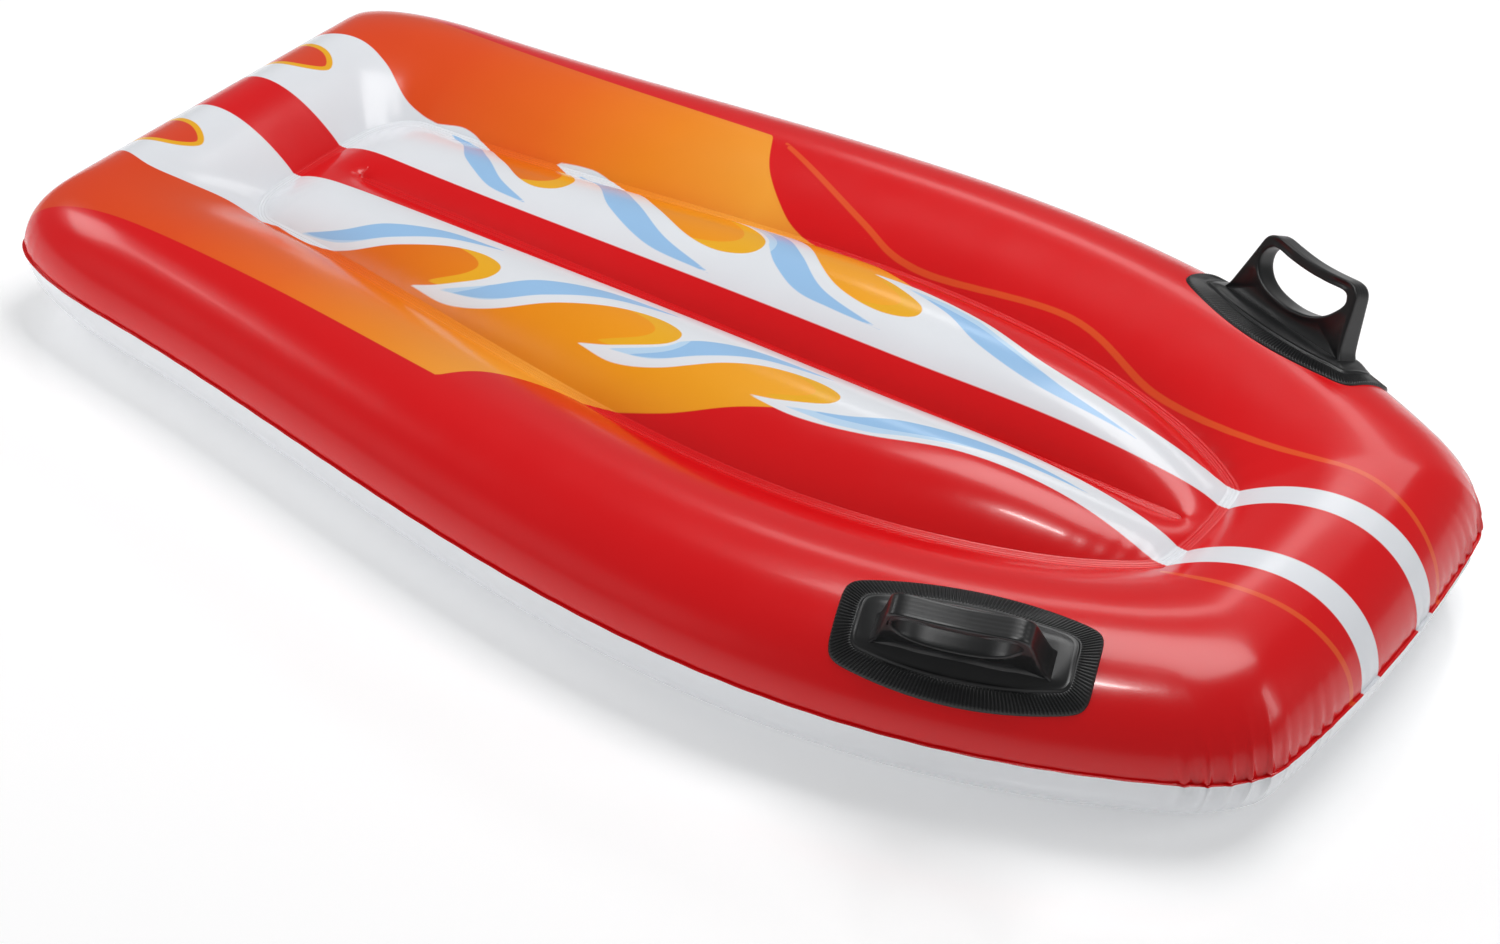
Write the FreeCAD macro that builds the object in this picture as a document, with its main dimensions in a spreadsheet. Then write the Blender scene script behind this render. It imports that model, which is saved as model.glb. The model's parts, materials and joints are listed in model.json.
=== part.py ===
import FreeCAD, Part
import math
import os

import Sketcher

# Inflatable bodyboard: a ring tube of varying section round a two-lobed inflated floor.
# X runs from tail to nose, Y to the rider's left, Z up; the ground is Z = 0.
V = FreeCAD.Vector

SIZES = [
    # overall and outline: half widths at four equal stations from tail to nose
    ("board_length", 1120, "tail seam to nose seam"),
    ("outer_tail_half", 244, "ring outline"),
    ("outer_aft_half", 280, "ring outline"),
    ("outer_fore_half", 307.5, "ring outline"),
    ("outer_nose_half", 172, "ring outline"),
    ("outer_tail_bow", 0, "tail edge bows forward at its corners when positive"),
    ("outer_nose_bow", 12, "nose edge falls back towards its corners"),
    ("outer_tail_cut", 46, "tail corner, along the tail edge"),
    ("outer_tail_run", 124, "tail corner, along the side"),
    ("outer_nose_run", 36, "nose corner, along the side"),
    ("outer_nose_cut", 28, "nose corner, along the nose edge"),
    # inner weld loop
    ("inner_tail_x", 132, "ring width at the tail"),
    ("inner_nose_x", 969, "inner weld at the nose"),
    ("inner_tail_half", 100, "inner loop"),
    ("inner_aft_half", 130, "inner loop"),
    ("inner_fore_half", 149.5, "inner loop"),
    ("inner_nose_half", 63, "inner loop"),
    ("inner_tail_bow", 4, "inner loop"),
    ("inner_nose_bow", 6, "inner loop"),
    ("inner_tail_cut", 47, "inner loop"),
    ("inner_tail_run", 32, "inner loop"),
    ("inner_nose_run", 73, "inner loop"),
    ("inner_nose_cut", 14, "inner loop"),
    # heights
    ("seam_height", 56, "perimeter seam above the ground"),
    ("weld_rise_tail", 24, "inner weld above the seam at the tail"),
    ("weld_rise_nose", 34, "inner weld above the seam at the nose"),
    ("crest_tail", 50, "ring swell above the line from seam to weld"),
    ("crest_mid", 50, "ring swell at the middle"),
    ("crest_nose", 53, "ring swell at the nose"),
    ("lobe_tail_high", 8, "floor lobe above the weld plane, at four equal stations"),
    ("lobe_aft_high", 24.5, "floor lobe"),
    ("lobe_fore_high", 33, "floor lobe"),
    ("lobe_nose_high", 24, "floor lobe"),
    ("tail_ramp", 60, "the floor rises from its end weld over this run"),
    ("nose_ramp", 105, "the floor rises from its end weld over this run"),
    ("ground_press", 0.6, "how far the ring flattens on the ground"),
    # film and welds: film is drawn thicker than the real 0.3 mm
    ("film", 1.5, "drawn film thickness"),
    ("weld_width", 9, "flat band of the inner weld"),
    ("lip_width", 3, "perimeter seam lip"),
    ("piece_gap", 0.12, "drawn gap where pieces meet along a curved edge"),
    ("centre_weld_width", 7, "weld along the middle stripe"),
    ("centre_weld_start", 40, "from the tail weld"),
    ("centre_weld_stop", 14, "from the nose weld"),
    # handles
    ("handle_x", 908, "handle centre from the tail"),
    ("handle_y", 233, "handle centre from the middle line"),
    ("handle_yaw", 18.5, "handle line against the middle line, degrees"),
    ("patch_length", 178, "moulded patch"),
    ("patch_end_width", 58, "moulded patch"),
    ("patch_mid_width", 86, "moulded patch"),
    ("patch_thick", 2.4, "moulded patch at its rim"),
    ("pad_length", 124, "raised pad under the grip"),
    ("pad_width", 32, "raised pad under the grip"),
    ("pad_rise", 4, "pad face above the ring surface at the handle centre"),
    ("grip_base", 116, "grip foot length"),
    ("grip_top", 98, "grip top length"),
    ("grip_height", 55, "grip above its pad"),
    ("grip_thick", 22, "grip across its bar"),
    ("grip_bar", 8, "top bar thickness"),
    ("grip_dip", 3, "top bar dips in its middle"),
    ("grip_sill", 13, "solid web under the opening"),
    ("opening_half", 42, "half length of the hand opening at its top"),
    # valves
    ("flange_radius", 20, "welded valve disc"),
    ("flange_proud", 0.8, "disc above the film"),
    ("recess_radius", 13, "dish that the closed valve sits in"),
    ("recess_depth", 4.8, "dish depth"),
    ("valve_wall", 1.2, "moulded wall"),
    ("collar_radius", 6.5, "bore that the stem slides in"),
    ("collar_length", 5, "sleeve below the dish"),
    ("slide_gap", 0.05, "running clearance of the stem"),
    ("stem_length", 20, "stem below the dish floor"),
    ("stem_bore", 4.8, "air way"),
    ("stem_seat", 3.2, "air way at the check flap"),
    ("rim_radius", 9, "stem head"),
    ("stop_radius", 7.6, "snap ring at the stem's inner end"),
    ("hinge_reach", 11.2, "strap root from the valve axis"),
    ("strap_width", 5, "strap and its lug"),
    ("cap_radius", 8, "cap head"),
    ("cap_thick", 1.5, "cap head"),
    ("plug_length", 5, "plug below the cap head"),
    ("plug_radius", 4.3, "plug under the cap head"),
    ("plug_tip", 3.8, "plug at its tip"),
    ("flap_radius", 5.2, "check flap"),
    ("flap_thick", 0.8, "check flap"),
    ("floor_valve_x", 262, "floor valve from the tail"),
    ("floor_valve_y", 62, "floor valve from the middle line"),
    ("ring_valve_share", 0.72, "place between seam and inner weld, tail centre"),
]

TAIL_STEPS, TAIL_CORNER_STEPS, SIDE_STEPS, NOSE_CORNER_STEPS, NOSE_STEPS = 10, 10, 44, 8, 8
SECTION_STEPS = 12
CORNER_FULLNESS = 0.55

doc = FreeCAD.newDocument("bodyboard")
sheet = doc.addObject("Spreadsheet::Sheet", "sizes")
for row, (alias, value, note) in enumerate(SIZES, 1):
    sheet.set("A%d" % row, alias)
    sheet.set("B%d" % row, str(value))
    sheet.set("C%d" % row, note)
    sheet.setAlias("B%d" % row, alias)
doc.recompute()


def size(alias):
    return float(sheet.get(alias))


def cell(alias):
    return "sizes." + alias


def keep(label, shape):
    """a sub-part whose shape is made by code"""
    node = doc.addObject("Part::Feature", label)
    node.Label = label
    node.Shape = shape
    return node


# ---------------------------------------------------------------- outlines

def polynomial(values):
    """cubic through four values at 0, 1/3, 2/3 and 1, as a function and its slope"""
    a, b, c, d = values
    k3 = (-a + 3 * b - 3 * c + d) * 4.5
    k2 = (2 * a - 5 * b + 4 * c - d) * 4.5
    k1 = (d - a) - k2 - k3
    return (lambda f: a + f * (k1 + f * (k2 + f * k3)),
            lambda f: k1 + f * (2 * k2 + f * 3 * k3))


def bezier(start, tangent_a, tangent_b, end, steps):
    """cubic curve between two points, end left out"""
    p1, p2 = start + tangent_a, end - tangent_b
    points = []
    for i in range(steps):
        f = i / steps
        g = 1 - f
        points.append(start * g ** 3 + p1 * (3 * g * g * f) + p2 * (3 * g * f * f) + end * f ** 3)
    return points


def half_loop(prefix, tail_x, nose_x):
    """points of one side of an outline, from the middle of the tail to the middle of the nose"""
    halves = [size(prefix + name) for name in ("_tail_half", "_aft_half", "_fore_half", "_nose_half")]
    tail_bow, nose_bow = size(prefix + "_tail_bow"), size(prefix + "_nose_bow")
    tail_cut, tail_run = size(prefix + "_tail_cut"), size(prefix + "_tail_run")
    nose_run, nose_cut = size(prefix + "_nose_run"), size(prefix + "_nose_cut")
    span = nose_x - tail_x
    width, slope = polynomial(halves)

    def side(x):
        return V(x, width((x - tail_x) / span), 0)

    def side_direction(x):
        return V(span, slope((x - tail_x) / span), 0).normalize()

    def tail(y):
        return V(tail_x + tail_bow * (y / halves[0]) ** 2, y, 0)

    def nose(y):
        return V(nose_x - nose_bow * (y / halves[3]) ** 2, y, 0)

    tail_corner, nose_corner = halves[0], halves[3]
    for _ in range(40):
        tail_corner = side(tail(tail_corner).x).y
        nose_corner = (nose_corner + side(nose(nose_corner).x).y) / 2
    tail_end = tail_corner - tail_cut
    nose_end = nose_corner - nose_cut
    side_start = tail(tail_corner).x + tail_run
    side_stop = nose(nose_corner).x - nose_run
    tail_way = V(2 * tail_bow * tail_end / halves[0] ** 2, 1, 0).normalize()
    nose_way = V(-2 * nose_bow * nose_end / halves[3] ** 2, 1, 0).normalize()

    points = [tail(tail_end * i / TAIL_STEPS) for i in range(TAIL_STEPS)]
    points += bezier(tail(tail_end), tail_way * tail_cut * CORNER_FULLNESS,
                     side_direction(side_start) * tail_run * CORNER_FULLNESS,
                     side(side_start), TAIL_CORNER_STEPS)
    points += [side(side_start + (side_stop - side_start) * i / SIDE_STEPS) for i in range(SIDE_STEPS)]
    points += bezier(side(side_stop), side_direction(side_stop) * nose_run * CORNER_FULLNESS,
                     nose_way * -nose_cut * CORNER_FULLNESS, nose(nose_end), NOSE_CORNER_STEPS)
    points += [nose(nose_end * (1 - i / NOSE_STEPS)) for i in range(NOSE_STEPS + 1)]
    return points


def offset_loop(points, distance):
    """the half outline moved outward (positive) or inward, square to itself"""
    moved = []
    last = len(points) - 1
    for i, point in enumerate(points):
        before = points[i - 1] if i else V(points[1].x, -points[1].y, 0)
        after = points[i + 1] if i < last else V(points[last - 1].x, -points[last - 1].y, 0)
        way = (after - before).normalize()
        moved.append(point + V(-way.y, way.x, 0) * distance)
    return moved


def mirrored(points):
    return [V(p.x, -p.y, p.z) for p in points]


length = size("board_length")
film = size("film")
middle = V(-length / 2, 0, 0)
outer_half = [p + middle for p in half_loop("outer", 0, length)]
inner_half = [p + middle for p in half_loop("inner", size("inner_tail_x"), size("inner_nose_x"))]
floor_half = offset_loop(inner_half, -size("weld_width"))

weld_tail_x = size("inner_tail_x") - length / 2
weld_nose_x = size("inner_nose_x") - length / 2
weld_slope = (size("weld_rise_nose") - size("weld_rise_tail")) / (weld_nose_x - weld_tail_x)


def weld_height(x):
    """height above the ground of the plane that both films are welded in"""
    return size("seam_height") + size("weld_rise_tail") + weld_slope * (x - weld_tail_x)


# ---------------------------------------------------------------- faces and shells

def grid_surface(rows):
    surface = Part.BSplineSurface()
    surface.interpolate(rows)
    return surface


def border(surface, side):
    """edge of a surface: 0 first row, 1 last row, 2 first column, 3 last column"""
    u0, u1, v0, v1 = surface.bounds()
    curve = [lambda: surface.uIso(u0), lambda: surface.uIso(u1),
             lambda: surface.vIso(v0), lambda: surface.vIso(v1)][side]()
    return curve.toShape()


SPARE_ROWS = 4


def half_surface(rows):
    """surface of one half, level with its mirror image across the middle of the board"""
    before = [mirrored(row) for row in rows[SPARE_ROWS:0:-1]]
    after = [mirrored(row) for row in rows[-2:-2 - SPARE_ROWS:-1]]
    surface = grid_surface(before + rows + after)
    knots, (_, _, low, high) = surface.getUKnots(), surface.bounds()
    surface.segment(knots[SPARE_ROWS], knots[-1 - SPARE_ROWS], low, high)
    return surface


def slab_faces(outer, inner, sides):
    """the two surfaces of a film and ruled faces between them along the named sides"""
    faces = [outer.toShape(), inner.toShape()]
    faces += [Part.makeRuledSurface(border(outer, side), border(inner, side)) for side in sides]
    return faces


def solid_from(faces):
    shell = Part.makeShell(faces)
    shell.sewShape()
    solid = Part.makeSolid(shell)
    if solid.Volume < 0:
        solid.reverse()
    return solid


def both_halves(outside, inside):
    """closed ring film: the grids of the left half and their mirror image"""
    faces = slab_faces(half_surface(outside), half_surface(inside), (2, 3))
    outside, inside = ([mirrored(row) for row in rows] for rows in (outside, inside))
    faces += slab_faces(half_surface(outside), half_surface(inside), (2, 3))
    return solid_from(faces)


# ---------------------------------------------------------------- ring chamber

def swell(share, power):
    """height of the tube from 0 at the seam, up to 1 and back to 0 at the weld"""
    peak = 0.5 / (0.5 + power)
    top = math.sqrt(peak) * (1 - peak) ** power
    return math.sqrt(share) * (1 - share) ** power / top


TOP_POWER, BOTTOM_POWER = 0.94, 0.76


def crest(x):
    f = min(max((x + length / 2) / length, 0), 1)
    if f < 0.5:
        return size("crest_tail") + (size("crest_mid") - size("crest_tail")) * f * 2
    return size("crest_mid") + (size("crest_nose") - size("crest_mid")) * (f - 0.5) * 2


def belly(weld):
    """depth of the tube's underside, so that it just reaches below the ground"""
    wanted = -size("ground_press")
    depth = size("seam_height")
    shares = [i / 60 for i in range(61)]
    for _ in range(6):
        lowest = min(size("seam_height") - depth * swell(s, BOTTOM_POWER) + weld * s for s in shares)
        depth += lowest - wanted
    return depth


def section(outer, inner, side):
    """outside and inside points of the ring film at one station; side is 1 for top, -1 for bottom"""
    seam = size("seam_height")
    rise = weld_height(inner.x) + side * film - seam
    height = crest(outer.x) if side > 0 else belly(rise)
    power = TOP_POWER if side > 0 else BOTTOM_POWER
    way = V(inner.x - outer.x, inner.y - outer.y, 0)
    reach = way.Length
    way.normalize()

    def profile(angle):
        share = angle * angle
        return reach * share, side * height * swell(share, power) + rise * share

    outside, inside = [], []
    step = 0.002
    for i in range(SECTION_STEPS + 1):
        angle = i / SECTION_STEPS
        run, z = profile(angle)
        low, high = profile(max(angle - step, 0)), profile(min(angle + step, 1))
        slope = V(high[0] - low[0], high[1] - low[1], 0).normalize()
        normal = V(side * slope.y, -side * slope.x, 0)
        if i == 0:
            normal = V(1, 0, 0)
        if i == SECTION_STEPS:
            normal = V(0, -side, 0)
        outside.append(outer + way * run + V(0, 0, seam + z))
        inside.append(outer + way * (run + normal.x * film) + V(0, 0, seam + z + normal.y * film))
    return outside, inside


def ring_grids(side):
    outside, inside = [], []
    for outer, inner in zip(outer_half, inner_half):
        out_row, in_row = section(outer, inner, side)
        outside.append(out_row)
        inside.append(in_row)
    return outside, inside


top_outside, top_inside = ring_grids(1)
bottom_outside, bottom_inside = ring_grids(-1)
ring_top = both_halves(top_outside, top_inside)
ring_bottom = both_halves(bottom_outside, bottom_inside)
slab = Part.makeBox(length * 1.2, length, 20, V(-length * 0.6, -length / 2, -20))
ring_bottom = ring_bottom.cut(slab)


# ---------------------------------------------------------------- floor chamber

film_half = offset_loop(floor_half, -size("piece_gap"))
floor_tail_x, floor_nose_x = film_half[0].x, film_half[-1].x
lobe_crest, _ = polynomial([size("lobe_%s_high" % place) for place in ("tail", "aft", "fore", "nose")])


def lobe(x, y, edge):
    """height of a floor lobe above the weld plane; edge is the floor's half width there"""
    inner = size("centre_weld_width") / 2
    half = max((edge - inner) / 2, 1)
    off = min(abs(abs(y) - inner - half), half) if abs(y) > inner else half
    tail = min(max((x - floor_tail_x) / size("tail_ramp"), 0), 1)
    nose = min(max((floor_nose_x - x) / size("nose_ramp"), 0), 1)
    ramp = (1 - (1 - tail) ** 2) ** 0.8 * (1 - (1 - nose) ** 2) ** 0.8
    high = max(lobe_crest((x - floor_tail_x) / (floor_nose_x - floor_tail_x)) * ramp, 0.01)
    radius = (half * half + high * high) / (2 * high)
    return math.sqrt(radius * radius - off * off) - radius + high


FLOOR_ROWS, FLOOR_COLUMNS = 50, 28


def floor_grid(side):
    """points of the floor film, straight across the board; side is 1 for top, -1 for bottom"""
    rows = []
    first = TAIL_STEPS + TAIL_CORNER_STEPS // 2
    last = len(film_half) - 1 - NOSE_STEPS - NOSE_CORNER_STEPS // 2
    spine = film_half[first:last + 1]
    for edge in spine:
        row = []
        for j in range(FLOOR_COLUMNS + 1):
            f = 2 * j / FLOOR_COLUMNS - 1
            tail_pull = 1 - (edge.x - spine[0].x) / (spine[-1].x - spine[0].x)
            bow = end_bow(f, film_half[:first + 1]) * tail_pull ** 6
            bow += end_bow(f, film_half[last:][::-1]) * (1 - tail_pull) ** 6
            x = edge.x + bow
            y = edge.y * f
            z = weld_height(x) + side * (film + lobe(x, y, edge.y))
            row.append(V(x, y, z))
        rows.append(row)
    return rows


def end_bow(f, end):
    """how far the end edge lies from its corner's x, at a share f of its half width"""
    wanted = abs(f) * end[-1].y
    for a, b in zip(end, end[1:]):
        if a.y <= wanted <= b.y + 1e-9:
            return a.x + (b.x - a.x) * (wanted - a.y) / (b.y - a.y) - end[-1].x
    return 0.0


def floor_film(side):
    outside = floor_grid(side)
    thick = film - size("piece_gap") / 2
    inside = [[V(p.x, p.y, p.z - side * thick) for p in row] for row in outside]
    return solid_from(slab_faces(grid_surface(outside), grid_surface(inside), (0, 1, 2, 3)))


floor_top = floor_film(1)
floor_bottom = floor_film(-1)

weld_start = floor_tail_x + size("centre_weld_start")
weld_stop = floor_nose_x - size("centre_weld_stop")
weld_tilt = FreeCAD.Rotation(V(0, 1, 0), -math.degrees(math.atan(weld_slope)))


def centre_strip(extra, thick):
    """the weld's own space: a bar with round ends in the weld plane"""
    half = size("centre_weld_width") / 2 + extra
    run = (weld_stop - weld_start) / math.cos(math.atan(weld_slope))
    bar = Part.makeBox(run, 2 * half, thick, V(0, -half, -thick / 2))
    for x in (0, run):
        bar = bar.fuse(Part.makeCylinder(half, thick, V(x, 0, -thick / 2)))
    bar = bar.removeSplitter()
    bar.Placement = FreeCAD.Placement(V(weld_start, 0, weld_height(weld_start)), weld_tilt)
    return bar


slot = centre_strip(size("piece_gap"), 40)
floor_top = floor_top.cut(slot)
floor_bottom = floor_bottom.cut(slot)
keep("centre_weld", centre_strip(0, 2 * film))


# ---------------------------------------------------------------- welds

def loop_wire(half, height):
    """closed smooth wire through a half outline and its mirror image"""
    points = half + mirrored(half)[-2:0:-1]
    points = [V(p.x, p.y, height(p.x)) for p in points]
    curve = Part.BSplineCurve()
    curve.interpolate(points, PeriodicFlag=True)
    return Part.Wire(curve.toShape())


def flat_band(outside, inside, height, thick, tilt):
    """flat ring between two outlines, thick across its plane"""
    face = Part.makeFace([loop_wire(outside, height), loop_wire(inside, height)],
                         "Part::FaceMakerBullseye")
    way = tilt.multVec(V(0, 0, 1))
    band = face.extrude(way * thick)
    band.translate(way * (-thick / 2))
    return band


keep("ring_weld", flat_band(inner_half, floor_half, weld_height, 2 * film, weld_tilt))
lip_outside = offset_loop(outer_half, size("lip_width"))
lip_inside = offset_loop(outer_half, 2 * size("piece_gap"))
keep("perimeter_seam", flat_band(lip_outside, lip_inside, lambda x: size("seam_height"), film,
                                 FreeCAD.Rotation()))


# ---------------------------------------------------------------- handles

def drop(surface, point, way):
    """where a line through the point meets the surface"""
    line = Part.Line(point - way * 60, point + way * 60)
    hits = [V(h.X, h.Y, h.Z) for h in line.intersectCS(surface)[0]]
    return min(hits, key=lambda h: (h - point).Length)


ring_surface = grid_surface(top_outside)
handle_foot = V(size("handle_x") - length / 2, size("handle_y"), 0)
handle_centre = drop(ring_surface, handle_foot + V(0, 0, size("seam_height") + 50), V(0, 0, 1))
handle_normal = ring_surface.normal(*ring_surface.parameter(handle_centre))
if handle_normal.z < 0:
    handle_normal = handle_normal * -1
yaw = math.radians(size("handle_yaw"))
handle_along = V(math.cos(yaw), -math.sin(yaw), 0)
handle_along = (handle_along - handle_normal * handle_along.dot(handle_normal)).normalize()
handle_across = handle_normal.cross(handle_along)

PATCH_ROWS, PATCH_COLUMNS = 28, 16


def patch_half_width(f):
    """barrel outline: f runs from -1 to 1 along the patch, with round corners"""
    end, mid = size("patch_end_width") / 2, size("patch_mid_width") / 2
    return mid + (end - mid) * f * f


def rounded(a, b):
    """pulls a square's corners in, so that the patch gets round ones"""
    return a * math.sqrt(1 - 0.11 * b ** 6), b * math.sqrt(1 - 0.30 * a ** 6)


def pad_share(along, across):
    """1 on the raised pad under the grip, falling to 0 round it"""
    ease = 7
    gap_along = (abs(along) - size("pad_length") / 2) / ease
    gap_across = (abs(across) - size("pad_width") / 2) / ease
    gap = min(max(max(gap_along, gap_across), 0), 1)
    return 1 - gap * gap * (3 - 2 * gap)


def patch_grids():
    """top and bottom points of the patch, which lies on the ring"""
    tops, bottoms = [], []
    for i in range(PATCH_ROWS + 1):
        top_row, bottom_row = [], []
        for j in range(PATCH_COLUMNS + 1):
            a, b = rounded(2 * i / PATCH_ROWS - 1, 2 * j / PATCH_COLUMNS - 1)
            along = a * size("patch_length") / 2
            across = b * patch_half_width(a)
            flat = handle_centre + handle_along * along + handle_across * across
            ground = drop(ring_surface, flat, handle_normal)
            level = (ground - flat).dot(handle_normal)
            share = pad_share(along, across)
            rise = (level + size("patch_thick")) * (1 - share) + size("pad_rise") * share
            bottom_row.append(ground + handle_normal * 0.1)
            top_row.append(flat + handle_normal * rise)
        tops.append(top_row)
        bottoms.append(bottom_row)
    return tops, bottoms


patch_left = solid_from(slab_faces(*map(grid_surface, patch_grids()), (0, 1, 2, 3)))
patch_right = patch_left.mirror(V(0, 0, 0), V(0, 1, 0))
keep("handle_left_base", patch_left)
keep("handle_right_base", patch_right)


def plane_of(body, role):
    return [f for f in body.Origin.OriginFeatures if f.Role == role][0]


def sketch_on(body, name, role):
    sketch = body.newObject("Sketcher::SketchObject", name)
    sketch.AttachmentSupport = [(plane_of(body, role), "")]
    sketch.MapMode = "FlatFace"
    return sketch


def bind(sketch, kind, places, value, name, expression):
    """a dimension of a sketch tied to the sheet"""
    sketch.addConstraint(Sketcher.Constraint(kind, *places, value))
    sketch.renameConstraint(sketch.ConstraintCount - 1, name)
    sketch.setExpression("Constraints." + name, expression)


def placed(label, origin, along, normal):
    """placement with local X along and local Z normal"""
    across = normal.cross(along)
    matrix = FreeCAD.Matrix(along.x, across.x, normal.x, origin.x,
                            along.y, across.y, normal.y, origin.y,
                            along.z, across.z, normal.z, origin.z, 0, 0, 0, 1)
    doc.getObject(label).Placement = FreeCAD.Placement(matrix)


def grip_body(label):
    """upright loop: a tapered plate with a dipped top bar and a D-shaped hand opening"""
    base, top = size("grip_base") / 2, size("grip_top") / 2
    high, dip = size("grip_height"), size("grip_dip")
    sill, bar, half = size("grip_sill"), size("grip_bar"), size("opening_half")
    body = doc.addObject("PartDesign::Body", label)
    body.Label = label
    outline = sketch_on(body, label + "_outline", "XZ_Plane")
    outline.addGeometry(Part.LineSegment(V(-base, 0, 0), V(base, 0, 0)))
    outline.addGeometry(Part.LineSegment(V(base, 0, 0), V(top, high, 0)))
    outline.addGeometry(Part.Arc(V(top, high, 0), V(0, high - dip, 0), V(-top, high, 0)))
    outline.addGeometry(Part.LineSegment(V(-top, high, 0), V(-base, 0, 0)))
    outline.addConstraint([
        Sketcher.Constraint("Coincident", 0, 2, 1, 1), Sketcher.Constraint("Coincident", 1, 2, 2, 2),
        Sketcher.Constraint("Coincident", 2, 1, 3, 1), Sketcher.Constraint("Coincident", 3, 2, 0, 1),
        Sketcher.Constraint("Horizontal", 0),
        Sketcher.Constraint("Symmetric", 0, 1, 0, 2, -1, 1),
        Sketcher.Constraint("Symmetric", 1, 2, 3, 1, -2)])
    bind(outline, "DistanceX", (0, 1, 0, 2), 2 * base, "base", cell("grip_base"))
    bind(outline, "DistanceX", (3, 1, 1, 2), 2 * top, "top", cell("grip_top"))
    bind(outline, "DistanceY", (0, 2, 1, 2), high, "high", cell("grip_height"))
    bind(outline, "Radius", (2,), (top * top + dip * dip) / (2 * dip), "crown",
         "(sizes.grip_top * sizes.grip_top / 4 + sizes.grip_dip * sizes.grip_dip) / (2 * sizes.grip_dip)")
    plate = body.newObject("PartDesign::Pad", label + "_plate")
    plate.Profile = outline
    plate.Midplane = True
    plate.setExpression("Length", cell("grip_thick"))
    doc.recompute()
    window = sketch_on(body, label + "_window", "XZ_Plane")
    left, right = V(-half, high - bar - 4, 0), V(half, high - bar - 4, 0)
    window.addGeometry(Part.Arc(left, V(0, sill, 0), right))
    window.addGeometry(Part.Arc(right, V(0, high - dip - bar, 0), left))
    window.addConstraint(Sketcher.Constraint("Coincident", 0, 2, 1, 1))
    window.addConstraint(Sketcher.Constraint("Coincident", 1, 2, 0, 1))
    opening = body.newObject("PartDesign::Pocket", label + "_opening")
    opening.Profile = window
    opening.Type = 1
    opening.Midplane = True
    doc.recompute()
    return body


def across_board(v, side):
    """the vector, or its mirror image on the right side"""
    return V(v.x, v.y * side, v.z)


for label, side in (("handle_left_grip", 1), ("handle_right_grip", -1)):
    grip_body(label)
    seat = handle_centre + handle_normal * (size("pad_rise") + size("piece_gap"))
    placed(label, across_board(seat, side), across_board(handle_along, side), across_board(handle_normal, side))


# ---------------------------------------------------------------- valves

def cylinder(name, radius, low, high):
    """round bar about Z between two heights, all three given as expressions"""
    bar = doc.addObject("Part::Cylinder", name)
    bar.setExpression("Radius", radius)
    bar.setExpression("Height", "(%s) - (%s)" % (high, low))
    bar.setExpression("Placement.Base.z", low)
    return bar


def taper(name, low_radius, high_radius, low, high):
    bar = doc.addObject("Part::Cone", name)
    bar.setExpression("Radius1", low_radius)
    bar.setExpression("Radius2", high_radius)
    bar.setExpression("Height", "(%s) - (%s)" % (high, low))
    bar.setExpression("Placement.Base.z", low)
    return bar


def block(name, left, right, width, low, high):
    """box from left to right along X, centred on Y"""
    box = doc.addObject("Part::Box", name)
    box.setExpression("Length", "(%s) - (%s)" % (right, left))
    box.setExpression("Width", width)
    box.setExpression("Height", "(%s) - (%s)" % (high, low))
    box.setExpression("Placement.Base.x", left)
    box.setExpression("Placement.Base.y", "-(%s) / 2" % width)
    box.setExpression("Placement.Base.z", low)
    return box


def joined(name, *shapes):
    fusion = doc.addObject("Part::MultiFuse", name)
    fusion.Shapes = list(shapes)
    return fusion


def without(name, base, tool):
    difference = doc.addObject("Part::Cut", name)
    difference.Base = base
    difference.Tool = tool
    return difference


DISH = "-sizes.recess_depth"
RIM_TOP = DISH + " + sizes.valve_wall"
CAP_TOP = RIM_TOP + " + sizes.cap_thick"
STEM_END = DISH + " - sizes.stem_length"
STEM_RADIUS = "sizes.collar_radius - sizes.slide_gap"
COLLAR_END = DISH + " - sizes.valve_wall - sizes.collar_length"
CAP_NECK = "-sizes.cap_radius + 0.8"


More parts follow.
